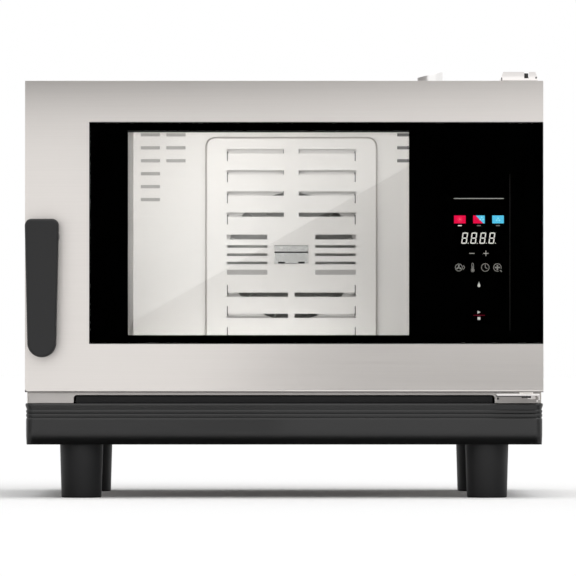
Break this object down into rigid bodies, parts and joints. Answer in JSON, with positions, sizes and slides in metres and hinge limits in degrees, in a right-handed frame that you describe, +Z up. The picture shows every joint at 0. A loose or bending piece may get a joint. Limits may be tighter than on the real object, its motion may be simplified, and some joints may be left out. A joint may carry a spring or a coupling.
{
  "type": "combi steamer oven",
  "caption": "Counter-top combi steamer oven: full-width glass door with touch panel and lever handle, fan-heated cavity with tray racks, ribbed black skirt and levelling legs.",
  "frame": {"origin": "on the floor, under the middle of the whole object's box", "axes": "+Z up; the door faces -Y; +X to the right when facing the door"},
  "size_m": [0.7658, 0.785, 0.647],
  "materials": {
    "steel": "fine brushed",
    "cavity_steel": "satin",
    "flue_steel": "polished",
    "black_plastic": "fine grain",
    "handle_plastic": "soft matte",
    "clear_glass": "polished",
    "black_print": "flat black print",
    "seal_rubber": "matte",
    "wool": "fibrous",
    "heater_metal": "heat-tinted",
    "motor_metal": "satin",
    "pipe_plastic": "matte",
    "white_plastic": "matte",
    "board": "solder mask",
    "display": "dark window",
    "bush_bronze": "machined"
  },
  "bodies": {
    "cabinet": {"base_pan": "steel", "base_skirt": "black_plastic", "left_side_panel": "steel", "right_side_panel": "steel", "top_panel": "steel", "rear_panel": "steel", "front_frame": "steel", "cavity_liner": "cavity_steel", "insulation": "wool", "door_gasket": "seal_rubber", "baffle_studs": "cavity_steel", "air_baffle": "cavity_steel", "fan_guard": "cavity_steel", "guard_catch": "cavity_steel", "heating_element": "heater_metal", "fan_motor": "motor_metal", "steam_injector": "cavity_steel", "drain_stub": "pipe_plastic", "drain_duct": "pipe_plastic", "drain_pipe": "pipe_plastic", "drain_strainer": "cavity_steel", "exhaust_flue": "flue_steel", "left_tray_rack": "cavity_steel", "right_tray_rack": "cavity_steel", "cavity_probe": "cavity_steel", "water_inlet_valve": "white_plastic", "cable_gland": "black_plastic", "electronics_plate": "steel", "power_board": "board", "contactor": "white_plastic", "cooling_fan_housing": "black_plastic", "top_hinge_bracket": "steel", "bottom_hinge_bracket": "steel", "hinge_pins": "steel", "latch_strike": "steel", "casing_screws": "steel", "leg_nuts": "steel"},
    "door": {"door_skin": "steel", "door_inner_pan": "steel", "outer_glass": "clear_glass", "glass_mask": "black_print", "inner_glass": "clear_glass", "glass_clips": "steel", "control_board": "board", "display_module": "display", "lamp_strip": "white_plastic", "hinge_bushes": "bush_bronze", "handle_bush": "black_plastic"},
    "handle": {"door_handle": "handle_plastic", "handle_spindle": "steel", "latch_pawl": "steel"},
    "fan": {"fan_wheel": "cavity_steel", "fan_nut": "cavity_steel", "motor_shaft": "cavity_steel"},
    "cooling_rotor": {"cooling_fan_rotor": "black_plastic"},
    "drip_tray": {"drip_tray": "black_plastic"},
    "leg_front_left": {"leg_front_left": "black_plastic"},
    "leg_front_right": {"leg_front_right": "black_plastic"},
    "leg_rear_left": {"leg_rear_left": "black_plastic"},
    "leg_rear_right": {"leg_rear_right": "black_plastic"}
  },
  "joints": [
    {"name": "door_hinge", "type": "hinge", "parent": "cabinet", "child": "door", "pos_m": [0.356, -0.3075, 0.385], "axis": [0, 0, 1], "range_deg": [0, 120]},
    {"name": "handle_turn", "type": "hinge", "parent": "door", "child": "handle", "pos_m": [-0.3535, -0.3375, 0.3846], "axis": [0, 1, 0], "range_deg": [-60, 60]},
    {"name": "fan_spin", "type": "hinge", "parent": "cabinet", "child": "fan", "pos_m": [0.011, 0.18, 0.3685], "axis": [0, 1, 0], "continuous": true},
    {"name": "cooling_fan_spin", "type": "hinge", "parent": "cabinet", "child": "cooling_rotor", "pos_m": [0.31, 0.35, 0.521], "axis": [0, 1, 0], "continuous": true},
    {"name": "drip_tray_slide", "type": "slide", "parent": "cabinet", "child": "drip_tray", "axis": [0, -1, 0], "range_m": [0, 0.12]},
    {"name": "leg_front_left_level", "type": "slide", "parent": "cabinet", "child": "leg_front_left", "axis": [0, 0, -1], "range_m": [0, 0.012]},
    {"name": "leg_front_right_level", "type": "slide", "parent": "cabinet", "child": "leg_front_right", "axis": [0, 0, -1], "range_m": [0, 0.012]},
    {"name": "leg_rear_left_level", "type": "slide", "parent": "cabinet", "child": "leg_rear_left", "axis": [0, 0, -1], "range_m": [0, 0.012]},
    {"name": "leg_rear_right_level", "type": "slide", "parent": "cabinet", "child": "leg_rear_right", "axis": [0, 0, -1], "range_m": [0, 0.012]}
  ]
}
